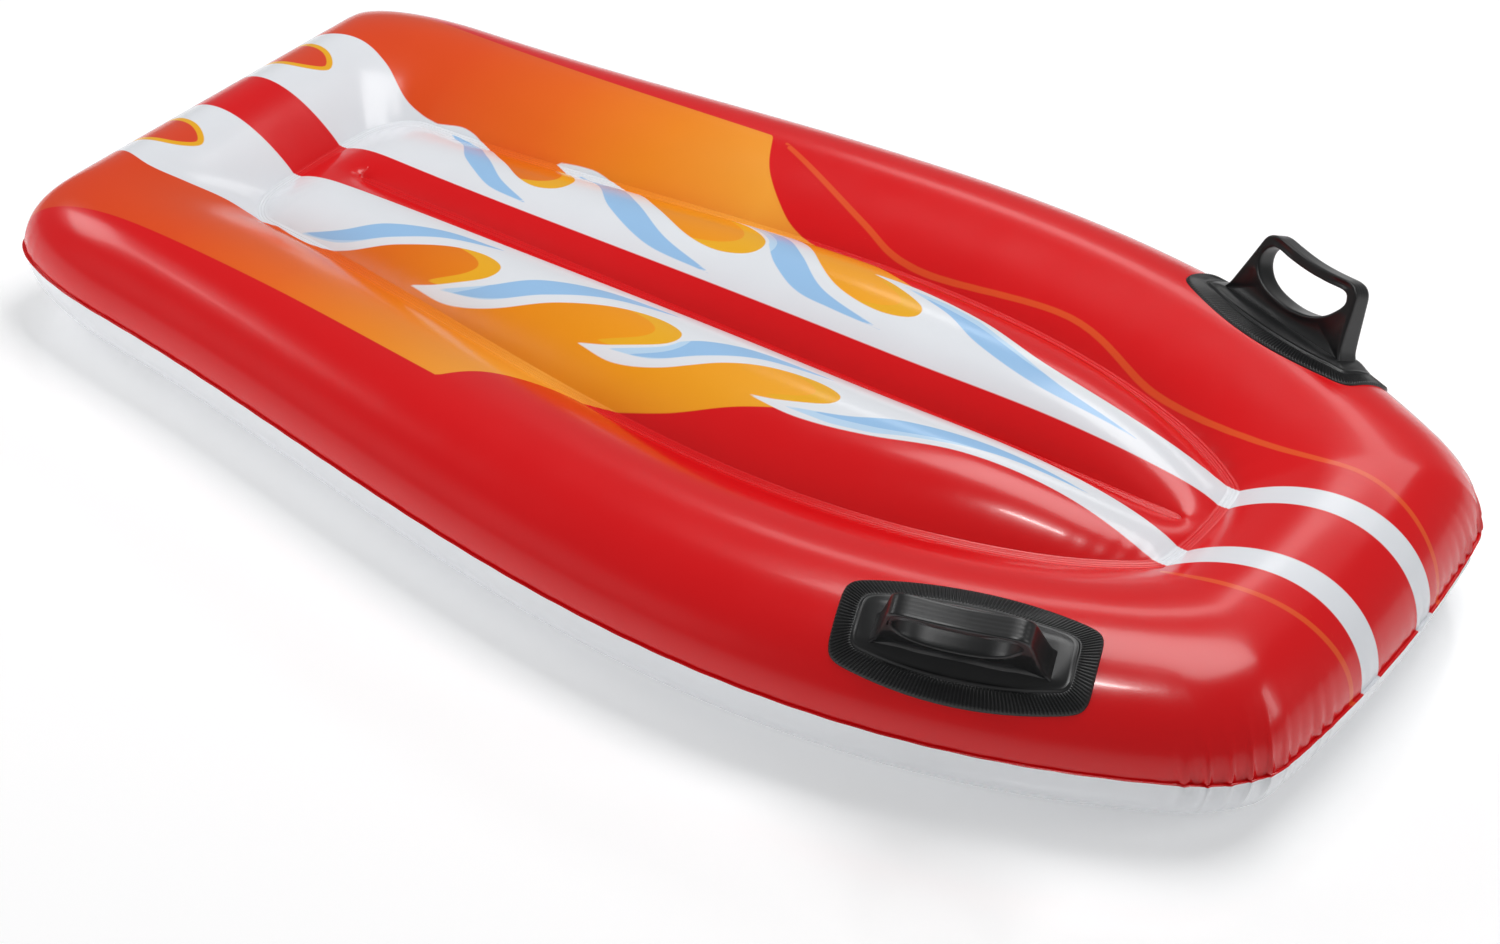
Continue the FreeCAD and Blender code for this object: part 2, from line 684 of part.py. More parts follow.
def valve(name, base, along, normal):
    """one air valve: local Z points out of the board, local X away from the strap"""
    flange = without(
        name + "_flange",
        joined(name + "_flange_body",
               cylinder(name + "_disc", "sizes.flange_radius", "-sizes.film", "sizes.flange_proud"),
               cylinder(name + "_dish", "sizes.recess_radius + sizes.valve_wall",
                        DISH + " - sizes.valve_wall", "0"),
               cylinder(name + "_collar", "sizes.collar_radius + sizes.valve_wall", COLLAR_END, DISH)),
        joined(name + "_flange_space",
               cylinder(name + "_dish_space", "sizes.recess_radius", DISH, "sizes.flange_proud + 1"),
               cylinder(name + "_bore", "sizes.collar_radius", COLLAR_END + " - 1", "0")))
    stem = without(
        name + "_stem",
        joined(name + "_stem_body",
               cylinder(name + "_tube", STEM_RADIUS, STEM_END, DISH),
               cylinder(name + "_rim", "sizes.rim_radius", DISH, RIM_TOP),
               block(name + "_lug", "-sizes.hinge_reach", "-sizes.rim_radius + 1", "sizes.strap_width",
                     DISH, RIM_TOP),
               cylinder(name + "_stop", "sizes.stop_radius", STEM_END, STEM_END + " + sizes.valve_wall")),
        joined(name + "_airway",
               cylinder(name + "_airway_wide", "sizes.stem_bore", STEM_END + " + 2", RIM_TOP + " + 1"),
               cylinder(name + "_airway_seat", "sizes.stem_seat", STEM_END + " - 1", STEM_END + " + 3")))
    flap = joined(
        name + "_flap",
        cylinder(name + "_flap_disc", "sizes.flap_radius", STEM_END + " - sizes.flap_thick", STEM_END),
        block(name + "_flap_root", "-sizes.stop_radius + 1", "-sizes.flap_radius + 1", "sizes.strap_width",
              STEM_END + " - sizes.flap_thick", STEM_END))
    cap = joined(
        name + "_cap",
        cylinder(name + "_cap_head", "sizes.cap_radius", RIM_TOP, CAP_TOP),
        block(name + "_cap_tab", "sizes.cap_radius - 1", "sizes.cap_radius + 3", "sizes.strap_width",
              RIM_TOP, RIM_TOP + " + 1"),
        taper(name + "_plug", "sizes.plug_tip", "sizes.plug_radius", RIM_TOP + " - sizes.plug_length",
              RIM_TOP))
    strap = without(
        name + "_strap",
        block(name + "_strap_band", "-sizes.hinge_reach", CAP_NECK, "sizes.strap_width",
              RIM_TOP, RIM_TOP + " + 0.9"),
        cylinder(name + "_strap_end", "sizes.cap_radius", RIM_TOP + " - 1", RIM_TOP + " + 2"))
    doc.recompute()
    for piece in (flange, stem, flap, cap, strap):
        piece.Label = piece.Name
        placed(piece.Name, base, along, normal)


def valve_hole(base, normal):
    """the film is cut away under the flange"""
    start = base - normal * 12
    return Part.makeCylinder(size("flange_radius") + 0.05, 24, start, normal)


floor_surface = grid_surface(floor_grid(-1))
floor_spot = V(size("floor_valve_x") - length / 2, size("floor_valve_y"), 0)
floor_base = drop(floor_surface, floor_spot + V(0, 0, 60), V(0, 0, 1))
floor_normal = floor_surface.normal(*floor_surface.parameter(floor_base))
if floor_normal.z > 0:
    floor_normal = floor_normal * -1
floor_along = (V(1, 0, 0) - floor_normal * floor_normal.x).normalize()
valve("floor_valve", floor_base, floor_along, floor_normal)
floor_bottom = floor_bottom.cut(valve_hole(floor_base, floor_normal))

tail_section = bottom_outside[0]
spot = size("ring_valve_share") ** 0.5 * SECTION_STEPS
low, high = tail_section[int(spot)], tail_section[int(spot) + 1]
ring_base = low + (high - low) * (spot - int(spot))
ring_way = (high - low).normalize()
ring_along = V(0, -1, 0)
ring_normal = V(ring_way.z, 0, -ring_way.x)
valve("ring_valve", ring_base, ring_along, ring_normal)
ring_bottom = ring_bottom.cut(valve_hole(ring_base, ring_normal))

keep("ring_top_panel", ring_top)
keep("ring_bottom_panel", ring_bottom)
keep("floor_top_panel", floor_top)
keep("floor_bottom_panel", floor_bottom)

# ---------------------------------------------------------------- checks and files

NODES = ["ring_top_panel", "ring_bottom_panel", "floor_top_panel", "floor_bottom_panel",
         "perimeter_seam", "ring_weld", "centre_weld",
         "handle_left_base", "handle_left_grip", "handle_right_base", "handle_right_grip"]
NODES += [v + p for v in ("floor_valve", "ring_valve") for p in ("_flange", "_stem", "_flap", "_cap", "_strap")]

doc.recompute()
for thing in doc.Objects:
    if "Invalid" in thing.State or "Error" in thing.State:
        raise RuntimeError(thing.Name + " did not build")
os.makedirs("parts", exist_ok=True)
for label in NODES:
    shape = doc.getObjectsByLabel(label)[0].Shape
    if shape.isNull() or not shape.isValid():
        raise RuntimeError(label + " is not a valid solid")
    shape.exportStep("parts/%s.step" % label)
    box = shape.BoundBox
    print("%-20s solids %d volume %10.1f  x %7.1f %7.1f  y %7.1f %7.1f  z %6.1f %6.1f" % (
        label, len(shape.Solids), shape.Volume, box.XMin, box.XMax, box.YMin, box.YMax, box.ZMin, box.ZMax))
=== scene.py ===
import json
import math

import bmesh
import bpy
import numpy as np
from mathutils import Matrix, Vector


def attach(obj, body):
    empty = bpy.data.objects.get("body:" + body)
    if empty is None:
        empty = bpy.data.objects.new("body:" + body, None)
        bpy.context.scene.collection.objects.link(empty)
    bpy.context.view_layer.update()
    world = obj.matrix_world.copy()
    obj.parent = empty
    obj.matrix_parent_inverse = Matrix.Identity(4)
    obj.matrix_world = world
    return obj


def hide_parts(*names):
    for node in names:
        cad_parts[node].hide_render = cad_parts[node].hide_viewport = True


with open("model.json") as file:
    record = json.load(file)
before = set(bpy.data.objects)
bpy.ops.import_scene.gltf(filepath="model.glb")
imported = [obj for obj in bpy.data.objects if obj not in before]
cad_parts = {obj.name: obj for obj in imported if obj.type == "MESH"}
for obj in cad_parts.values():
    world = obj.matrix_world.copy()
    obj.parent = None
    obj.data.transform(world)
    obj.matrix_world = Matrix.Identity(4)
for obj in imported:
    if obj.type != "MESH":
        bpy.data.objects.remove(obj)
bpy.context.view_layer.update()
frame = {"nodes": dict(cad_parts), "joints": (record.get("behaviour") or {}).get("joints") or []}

# All shapes are worked out in millimetres: X tail to nose, Y to the rider's left, Z up from the ground.
MM = 0.001
LENGTH, SEAM, FILM = 1120.0, 56.0, 1.5
OUTER = dict(halves=(244, 280, 307.5, 172), tail_x=0, nose_x=1120, tail_bow=0, nose_bow=12,
             tail_cut=46, tail_run=124, nose_run=36, nose_cut=28)
INNER = dict(halves=(100, 130, 149.5, 63), tail_x=132, nose_x=969, tail_bow=4, nose_bow=6,
             tail_cut=47, tail_run=32, nose_run=73, nose_cut=14)
STEPS = dict(tail=40, tail_corner=40, side=176, nose_corner=32, nose=32)
WELD_TAIL, WELD_NOSE = 24.0, 34.0
WELD_WIDTH = 9.0
RING_CREST, NOSE_EXTRA, GROUND_PRESS = 50.0, 3.0, 0.6
TOP_POWER, BOTTOM_POWER = 0.94, 0.76
LOBE_PEAK = 33.0
CENTRE_HALF, CENTRE_ROUND = 3.5, 7.0
CENTRE_FROM_TAIL, CENTRE_FROM_NOSE = 40.0, 14.0
CORNER_FULLNESS = 0.55


# ------------------------------------------------------------------ outlines

def unit(v):
    return v / np.maximum(np.linalg.norm(v, axis=-1, keepdims=True), 1e-9)


def ease(f):
    f = np.clip(f, 0, 1)
    return f * f * (3 - 2 * f)


def cubic(values):
    """cubic through four values at 0, 1/3, 2/3 and 1, and its slope"""
    a, b, c, d = values
    k3 = (-a + 3 * b - 3 * c + d) * 4.5
    k2 = (2 * a - 5 * b + 4 * c - d) * 4.5
    k1 = (d - a) - k2 - k3
    return (lambda f: a + f * (k1 + f * (k2 + f * k3))), (lambda f: k1 + f * (2 * k2 + f * 3 * k3))


def spline_between(a, b, c, d, f):
    """smooth curve from b to c, where a is the point before them and d the one after"""
    return 0.5 * (2 * b + (c - a) * f + (2 * a - 5 * b + 4 * c - d) * f ** 2
                  + (3 * b - a - 3 * c + d) * f ** 3)


def bezier(p0, way0, way3, p3, steps):
    f = np.linspace(0, 1, steps, endpoint=False)[:, None]
    g = 1 - f
    return p0 * g ** 3 + (p0 + way0) * 3 * g * g * f + (p3 - way3) * 3 * g * f * f + p3 * f ** 3


def half_loop(halves, tail_x, nose_x, tail_bow, nose_bow, tail_cut, tail_run, nose_run, nose_cut):
    """one side of an outline, from the middle of the tail to the middle of the nose"""
    width, slope = cubic(halves)
    span = nose_x - tail_x

    def side(x):
        return np.array([x, width((x - tail_x) / span)])

    def side_way(x):
        return unit(np.array([span, slope((x - tail_x) / span)]))

    def tail(y):
        return np.array([tail_x + tail_bow * (y / halves[0]) ** 2, y])

    def nose(y):
        return np.array([nose_x - nose_bow * (y / halves[3]) ** 2, y])

    tail_corner, nose_corner = halves[0], halves[3]
    for _ in range(40):
        tail_corner = side(tail(tail_corner)[0])[1]
        nose_corner = (nose_corner + side(nose(nose_corner)[0])[1]) / 2
    tail_end, nose_end = tail_corner - tail_cut, nose_corner - nose_cut
    start, stop = tail(tail_corner)[0] + tail_run, nose(nose_corner)[0] - nose_run
    tail_way = unit(np.array([2 * tail_bow * tail_end / halves[0] ** 2, 1]))
    nose_way = unit(np.array([-2 * nose_bow * nose_end / halves[3] ** 2, 1]))
    points = [tail(tail_end * i / STEPS["tail"]) for i in range(STEPS["tail"])]
    points += list(bezier(tail(tail_end), tail_way * tail_cut * CORNER_FULLNESS,
                          side_way(start) * tail_run * CORNER_FULLNESS, side(start), STEPS["tail_corner"]))
    points += [side(start + (stop - start) * i / STEPS["side"]) for i in range(STEPS["side"])]
    points += list(bezier(side(stop), side_way(stop) * nose_run * CORNER_FULLNESS,
                          -nose_way * nose_cut * CORNER_FULLNESS, nose(nose_end), STEPS["nose_corner"]))
    points += [nose(nose_end * (1 - i / STEPS["nose"])) for i in range(STEPS["nose"] + 1)]
    return np.array(points) - [LENGTH / 2, 0]


def whole(half):
    return np.concatenate([half, (half * [1, -1])[-2:0:-1]])


def smooth_loop(loop, sigma):
    """evens out jumps in curvature; sigma counts points"""
    reach = int(3 * sigma)
    weights = np.exp(-0.5 * (np.arange(-reach, reach + 1) / sigma) ** 2)
    weights /= weights.sum()
    return sum(w * np.roll(loop, k, axis=0) for k, w in zip(range(-reach, reach + 1), weights))


def outward(loop):
    along = unit(np.roll(loop, -1, axis=0) - np.roll(loop, 1, axis=0))
    return np.stack([-along[:, 1], along[:, 0]], axis=1)


outer = smooth_loop(whole(half_loop(**OUTER)), 3)
inner = smooth_loop(whole(half_loop(**INNER)), 3)
floor_edge = inner - outward(inner) * WELD_WIDTH
WELD_TAIL_X, WELD_NOSE_X = inner[:, 0].min(), inner[:, 0].max()
WELD_SLOPE = (WELD_NOSE - WELD_TAIL) / (WELD_NOSE_X - WELD_TAIL_X)


def weld_height(x):
    return SEAM + WELD_TAIL + WELD_SLOPE * (x - WELD_TAIL_X)


def arc_length(loop):
    steps = np.linalg.norm(np.roll(loop, -1, axis=0) - loop, axis=1)
    return np.concatenate([[0], np.cumsum(steps)[:-1]])


# ------------------------------------------------------------------ meshes

def grid_faces(rows, cols, wrap=False):
    i = np.arange(rows * cols).reshape(rows, cols)
    if wrap:
        i = np.concatenate([i, i[:1]])
    return np.stack([i[:-1, :-1], i[1:, :-1], i[1:, 1:], i[:-1, 1:]], -1).reshape(-1, 4)


def grid_normals(grid, wrap):
    """unit normals of a grid of points, rows wrapping round or not"""
    if wrap:
        down = np.roll(grid, -1, axis=0) - np.roll(grid, 1, axis=0)
    else:
        down = np.gradient(grid, axis=0)
    across = np.gradient(grid, axis=1)
    return unit(np.cross(down, across))


def piece(name, points, faces, material, nodes=(), body="board", values=None, weld=None):
    """a mesh piece from points in millimetres; values are named numbers kept on its points"""
    mesh = bpy.data.meshes.new(name)
    mesh.from_pydata((np.asarray(points, float) * MM).tolist(), [], np.asarray(faces).tolist())
    for key, numbers in (values or {}).items():
        layer = mesh.attributes.new(key, "FLOAT", "POINT")
        layer.data.foreach_set("value", np.asarray(numbers, np.float32))
    if weld:
        work = bmesh.new()
        work.from_mesh(mesh)
        bmesh.ops.remove_doubles(work, verts=work.verts, dist=weld * MM)
        work.to_mesh(mesh)
        work.free()
    mesh.validate()
    mesh.polygons.foreach_set("use_smooth", [True] * len(mesh.polygons))
    obj = bpy.data.objects.new(name, mesh)
    bpy.context.scene.collection.objects.link(obj)
    mesh.materials.append(material)
    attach(obj, body)
    if nodes:
        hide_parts(*nodes)
    return obj


# ------------------------------------------------------------------ materials

def linear(hex_colour):
    out = []
    for k in (1, 3, 5):
        c = int(hex_colour[k:k + 2], 16) / 255
        out.append(c / 12.92 if c <= 0.04045 else ((c + 0.055) / 1.055) ** 2.4)
    return (*out, 1.0)


class Shader:
    """a material with one Principled shader and short calls for the nodes before it"""

    def __init__(self, name, **settings):
        self.material = bpy.data.materials.new(name)
        self.material.use_nodes = True
        self.tree = self.material.node_tree
        self.main = self.tree.nodes["Principled BSDF"]
        for key, value in settings.items():
            self.main.inputs[key.replace("_", " ")].default_value = value

    def node(self, kind, **settings):
        node = self.tree.nodes.new(kind)
        for key, value in settings.items():
            if hasattr(node, key):
                setattr(node, key, value)
            else:
                node.inputs[key.replace("_", " ")].default_value = value
        return node

    def link(self, source, target):
        self.tree.links.new(source, target)

    def attribute(self, name):
        return self.node("ShaderNodeAttribute", attribute_name=name).outputs["Fac"]

    def place(self):
        return self.node("ShaderNodeTexCoord").outputs["Object"]

    def noise(self, scale, detail=3, roughness=0.5):
        node = self.node("ShaderNodeTexNoise", Scale=scale, Detail=detail, Roughness=roughness)
        self.link(self.place(), node.inputs["Vector"])
        return node.outputs["Fac"]

    def spread(self, source, low, high, from_low=0.0, from_high=1.0):
        node = self.node("ShaderNodeMapRange")
        limits = {"From Min": from_low, "From Max": from_high, "To Min": low, "To Max": high}
        for socket, value in limits.items():
            node.inputs[socket].default_value = value
        self.link(source, node.inputs["Value"])
        return node.outputs["Result"]

    def maths(self, operation, a, b):
        node = self.node("ShaderNodeMath", operation=operation)
        for socket, value in zip(node.inputs, (a, b)):
            if isinstance(value, (int, float)):
                socket.default_value = value
            else:
                self.link(value, socket)
        return node.outputs[0]

    def mix(self, share, a, b):
        """a where share is 0, b where it is 1"""
        node = self.node("ShaderNodeMix", data_type="RGBA")
        if isinstance(share, (int, float)):
            node.inputs[0].default_value = share
        else:
            self.link(share, node.inputs[0])
        for socket, value in ((node.inputs[6], a), (node.inputs[7], b)):
            if isinstance(value, tuple):
                socket.default_value = value
            else:
                self.link(value, socket)
        return node.outputs[2]

    def ramp(self, source, stops):
        node = self.node("ShaderNodeValToRGB")
        elements = node.color_ramp.elements
        while len(elements) < len(stops):
            elements.new(0.5)
        for element, (place, colour) in zip(elements, stops):
            element.position = place
            element.color = linear(colour)
        self.link(source, node.inputs["Fac"])
        return node.outputs["Color"]

    def bump(self, height, strength, distance, onto=None):
        node = self.node("ShaderNodeBump", Strength=strength, Distance=distance)
        self.link(height, node.inputs["Height"])
        if onto:
            self.link(onto, node.inputs["Normal"])
        return node.outputs["Normal"]


def film_finish(shader, colour):
    """gloss of calendered vinyl: faint orange peel, faint haze and a little ink unevenness"""
    tone = shader.noise(9, 4, 0.6)
    darker = shader.node("ShaderNodeMix", data_type="RGBA", blend_type="MULTIPLY")
    shader.link(shader.spread(tone, 0.0, 0.08, 0.35, 0.7), darker.inputs[0])
    if isinstance(colour, tuple):
        darker.inputs[6].default_value = colour
    else:
        shader.link(colour, darker.inputs[6])
    darker.inputs[7].default_value = (0.62, 0.60, 0.60, 1)
    shader.link(darker.outputs[2], shader.main.inputs["Base Color"])
    haze = shader.noise(26, 3, 0.55)
    shader.link(shader.spread(haze, 0.19, 0.29), shader.main.inputs["Roughness"])
    peel = shader.bump(shader.noise(620, 2, 0.5), 0.10, 0.0003)
    wave = shader.bump(shader.noise(34, 2, 0.5), 0.10, 0.0016, peel)
    shader.link(wave, shader.main.inputs["Normal"])


RED, WHITE, BLUE, YELLOW = linear("#DE040D"), linear("#E9ECF1"), linear("#9CC6EE"), linear("#F2B01C")


def edge(shader, name):
    """0 outside a printed shape, 1 inside it, from its signed distance in millimetres"""
    return shader.spread(shader.attribute(name), 0, 1, -0.45, 0.45)


def printed_film():
    shader = Shader("printed_film", Coat_Weight=0.2, Coat_Roughness=0.1, IOR=1.48, Specular_IOR_Level=0.4)
    ring = [(0.0, "#DE3C16"), (0.12, "#E64E14"), (0.20, "#EE6814"), (0.28, "#F58A18"), (0.36, "#FAA534")]
    floor = [(0.55, "#E0540A"), (0.66, "#E87008"), (0.78, "#F19004"), (0.88, "#F69E0C"), (1.0, "#FAAE26")]
    orange = shader.ramp(shader.attribute("tone"), ring + floor)
    colour = shader.mix(edge(shader, "orange"), RED, orange)
    off_line = shader.maths("ABSOLUTE", shader.attribute("line"), 0.0)
    on_line = shader.maths("SUBTRACT", shader.attribute("line_half"), off_line)
    colour = shader.mix(shader.spread(on_line, 0, 1, -0.45, 0.45), colour, linear("#E9521F"))
    colour = shader.mix(edge(shader, "yellow"), colour, YELLOW)
    colour = shader.mix(edge(shader, "white"), colour, WHITE)
    pale_rim = shader.spread(shader.attribute("white"), 1, 0, 8.6, 9.4)
    blue = shader.mix(pale_rim, BLUE, linear("#BFDCF5"))
    colour = shader.mix(edge(shader, "blue"), colour, blue)
    colour = shader.mix(edge(shader, "rim"), colour, YELLOW)
    colour = shader.mix(edge(shader, "drop"), colour, linear("#DF4423"))
    colour = shader.mix(edge(shader, "stripe"), colour, RED)
    film_finish(shader, colour)
    return shader.material


def white_film():
    shader = Shader("white_film", Coat_Weight=0.2, Coat_Roughness=0.12, IOR=1.48, Specular_IOR_Level=0.4)
    film_finish(shader, shader.mix(shader.noise(5, 3), linear("#E9ECF1"), linear("#F2F4F6")))
    return shader.material


BAR_LINE_STEP = 3.2


def black_vinyl():
    shader = Shader("black_vinyl", Specular_IOR_Level=0.45, IOR=1.5)
    cloud = shader.noise(30, 4, 0.6)
    shader.link(shader.mix(cloud, linear("#121213"), linear("#1C1D1E")), shader.main.inputs["Base Color"])
    shader.link(shader.spread(shader.noise(60, 3), 0.26, 0.38), shader.main.inputs["Roughness"])
    grain = shader.bump(shader.noise(1500, 3, 0.6), 0.16, 0.0002)
    turns = shader.maths("MULTIPLY", shader.attribute("across"), 2 * math.pi / BAR_LINE_STEP)
    weighted = shader.maths("MULTIPLY", shader.maths("SINE", turns, 0.0), shader.attribute("on_bar"))
    shader.link(shader.bump(weighted, 0.07, 0.0003, grain), shader.main.inputs["Normal"])
    return shader.material


def valve_vinyl():
    shader = Shader("valve_vinyl", Coat_Weight=0.2, Coat_Roughness=0.2, IOR=1.5, Subsurface_Weight=0.15,
                    Subsurface_Scale=0.002)
    shader.link(shader.mix(shader.noise(90, 3), linear("#C3CDD6"), linear("#D6DDE3")),
                shader.main.inputs["Base Color"])
    shader.link(shader.spread(shader.noise(150, 3), 0.25, 0.4), shader.main.inputs["Roughness"])
    shader.link(shader.bump(shader.noise(1100, 2), 0.12, 0.0002), shader.main.inputs["Normal"])
    return shader.material


PRINT, UNDER, BLACK, VALVE = printed_film(), white_film(), black_vinyl(), valve_vinyl()


# ------------------------------------------------------------------ printed pattern

def run(*points, steps=10):
    """smooth curve through the points"""
    p = np.array(points, float)
    p = np.concatenate([[2 * p[0] - p[1]], p, [2 * p[-1] - p[-2]]])
    f = np.linspace(0, 1, steps, endpoint=False)[:, None]
    out = [spline_between(a, b, c, d, f) for a, b, c, d in zip(p, p[1:], p[2:], p[3:])]
    return np.concatenate(out + [p[-2:-1]])


REACH = 12.0
LINE_REACH, OFF_LINE = 9.0, -4.0


class Plan:
    """points of a film seen from above, sorted both ways so that short curves look at few of them"""

    def __init__(self, points):
        self.points = points
        self.orders = [np.argsort(points[:, k]) for k in (0, 1)]
        self.values = [points[order, k] for k, order in enumerate(self.orders)]

    def between(self, k, low, high):
        first, last = np.searchsorted(self.values[k], (low, high))
        return self.orders[k][first:last]

    def distances(self, path):
        """distance to an open path, no more than REACH, with the side it lies on"""
        best = np.full(len(self.points), REACH ** 2)
        side = np.ones(len(self.points))
        for a, b in zip(path, path[1:]):
            near = self.between(0, min(a[0], b[0]) - REACH, max(a[0], b[0]) + REACH)
            way, offset = b - a, self.points[near] - a
            f = np.clip((offset @ way) / max(way @ way, 1e-9), 0, 1)
            square = ((offset - f[:, None] * way) ** 2).sum(1)
            closer = square < best[near]
            best[near[closer]] = square[closer]
            side[near[closer]] = np.sign(way[0] * offset[closer, 1] - way[1] * offset[closer, 0])
        return np.sqrt(best), side

    def inside(self, *runs):
        """signed distance to the closed shape that the runs make, positive inside"""
        path = np.concatenate(runs + (runs[0][:1],))
        turns = np.zeros(len(self.points), int)
        for a, b in zip(path, path[1:]):
            if abs(b[1] - a[1]) > 1e-9:
                level = self.between(1, min(a[1], b[1]), max(a[1], b[1]))
                x, y = self.points[level].T
                turns[level] += x < a[0] + (y - a[1]) / (b[1] - a[1]) * (b[0] - a[0])
        return self.distances(path)[0] * np.where(turns % 2, 1, -1)

    def line(self, width, path):
        """signed distance to a thin line, and its half width (OFF_LINE away from it)"""
        far, side = self.distances(path)
        x = self.points[:, 0]
        near = far < LINE_REACH
        on = near & (x > path[:, 0].min()) & (x < path[:, 0].max())
        return np.where(near, far * side, LINE_REACH), np.where(on, width / 2, OFF_LINE)


# The print is a plain flame motif: one tongue shape, repeated along the right (-1) and the left (1) half.
# A tongue's own coordinates are (share of its length towards the nose, share of its height outward).
# Other curves are (X, distance from the middle line), and run past both ends of the board to PAST_END.

PAST_END = 575
TONGUE = run((0, 1.0), (0.20, 1.10), (0.40, 0.92), (0.60, 0.46), (0.80, 0.10), (0.97, 0.0), (1.09, 0.16),
             (1.08, 0.50), (0.92, 0.84), (0.78, 1.0))
TAPER = run((0, 1.0), (0.18, 1.04), (0.40, 0.80), (0.66, 0.28), (0.95, 0.04), (1.3, 0.02))
SWOOSH = np.concatenate([run((0.12, 0.94), (0.34, 0.84), (0.52, 0.42), (0.74, -0.06), (1.02, -0.34)),
                         run((1.02, -0.34), (0.70, -0.26), (0.46, 0.10), (0.30, 0.60), (0.12, 0.94))[1:]])
CRESCENT = np.concatenate([run((0.80, 0.02), (0.94, 0.14), (1.00, 0.32), (0.97, 0.56), (0.84, 0.86)),
                           run((1.10, 0.90), (1.30, 0.40), (1.10, -0.20))])
TONGUE_STEP = 0.78
FIRST_TIP, BAND_EDGE = -384.0, 53.0
# Each tongue's length and height, from the tail to the nose.
TONGUES = {-1: ((185, 44), (212, 50), (190, 52), (255, 42)),
           1: ((150, 50), (215, 62), (200, 66), (265, 44))}
FIRST_CURL = ((-PAST_END, 118), (-530, 122), (-490, 130), (-455, 122), (-420, 106))
TAIL_DROP = run((-PAST_END, 58), (-530, 57), (-498, 62), (-480, 78), (-496, 96), (-530, 102),
                (-PAST_END, 100))
DROP_RIM, WHITE_RIM = 5.0, 3.0
STRIPE = run((-600, 30), (-520, 30), (-400, 28), (-250, 25), (200, 25), (330, 26), (430, 31), (600, 30))
FIELD = (run((-PAST_END, 211), (-450, 199), (-300, 202), (-118, 216)),
         run((-118, 216), (-96, 180), (-60, 152), (-30, 142)),
         run((-30, 142), (30, 128), (80, 105), (140, 80)),
         run((140, 0), (-PAST_END, 0)))
LINES = {-1: run((408, 74), (470, 81), (530, 76), (PAST_END, 62)),
         1: run((-102, 212), (0, 172), (63, 155), (200, 159), (300, 119), (399, 96), (485, 86),
                (PAST_END, 64))}
LINE_WIDTH = 4.6
FLOOR_TONE, RING_TONE = (0.42, 0.56), 0.5


def flame_shapes(side):
    """the white flame's edge from tail to nose, with the blue swoosh and yellow crescent of its tongues"""
    tongues = TONGUES[side]
    first_tip = (FIRST_TIP, BAND_EDGE + tongues[0][1])
    edge_runs = [run(*FIRST_CURL, first_tip)]
    swooshes, crescents = [], []
    tip_x = FIRST_TIP
    for (length, height), (_, after) in zip(tongues, tongues[1:] + tongues[-1:]):
        def place(shape):
            grown = height + (after - height) * ease((shape[:, 0] - 0.5) / (TONGUE_STEP - 0.5))
            return np.stack([tip_x + length * shape[:, 0], BAND_EDGE + grown * shape[:, 1]], 1)

        swooshes.append(place(SWOOSH))
        last = len(swooshes) == len(tongues)
        edge_runs.append(place(TAPER if last else TONGUE))
        if not last:
            crescents.append(place(CRESCENT))
        tip_x += length * TONGUE_STEP
    edge_runs.append(run(edge_runs[-1][-1], (500, 54), (PAST_END, 54)))
    return edge_runs, swooshes, crescents


def print_values(points, on_floor=False):
    """signed distances of every printed colour at points of the top film"""
    names = ("orange", "yellow", "white", "blue", "rim", "drop", "stripe")
    values = {name: np.zeros(len(points)) for name in names}
    values["line"], values["line_half"] = np.zeros(len(points)), np.zeros(len(points))
    for side in (-1, 1):
        chosen = points[:, 1] > 0 if side > 0 else points[:, 1] <= 0
        plan = Plan(np.stack([points[chosen, 0], np.abs(points[chosen, 1])], 1))
        edge_runs, swooshes, crescents = flame_shapes(side)
        white = plan.inside(*edge_runs, run((PAST_END, 0), (-PAST_END, 0)))
        values["white"][chosen] = white
        values["orange"][chosen] = plan.inside(*FIELD)
        values["yellow"][chosen] = np.max([plan.inside(shape) for shape in crescents], axis=0)
        blue = np.max([plan.inside(shape) for shape in swooshes], axis=0)
        values["blue"][chosen] = np.minimum(blue, white - WHITE_RIM)
        drop = plan.inside(TAIL_DROP)
        values["rim"][chosen], values["drop"][chosen] = drop, drop - DROP_RIM
        values["stripe"][chosen] = np.interp(plan.points[:, 0], *STRIPE.T) - plan.points[:, 1]
        values["line"][chosen], values["line_half"][chosen] = plan.line(LINE_WIDTH, LINES[side])
    along = np.clip((points[:, 0] + 560) / 660, 0, 1)
    values["tone"] = FLOOR_TONE[0] + FLOOR_TONE[1] * along if on_floor else RING_TONE * along
    return values


# ------------------------------------------------------------------ ring tube

def swell(share, power):
    """section of an inflated tube from its seam (0) to its weld (1), with its crest at height 1"""
    peak = 0.5 / (0.5 + power)
    return np.sqrt(share) * (1 - share) ** power / (math.sqrt(peak) * (1 - peak) ** power)


RING_COLS = 110
shares = np.linspace(0, 1, RING_COLS + 1)[None, :] ** 2
PUCKER_STEP, PUCKER_HEIGHT = 14.5, 2.6


def corner_share(loop, x_low, x_high, softness):
    """1 on the parts of a loop between two X values and 0 elsewhere"""
    return ease((loop[:, 0] - x_low) / softness + 0.5) * ease((x_high - loop[:, 0]) / softness + 0.5)


def seam_puckers():
    """how strongly the film gathers along the seam, and the gathers themselves"""
    s = arc_length(outer)
    strength = 0.05 + 2.9 * corner_share(outer, 498, 556, 22) + 0.45 * corner_share(outer, -556, -510, 34)
    phase = np.pi * s / PUCKER_STEP + 0.5 * np.sin(s / 37) + 0.4 * np.sin(s / 91 + 1)
    return strength * (0.25 - np.exp(-(np.sin(phase) / 0.34) ** 2))


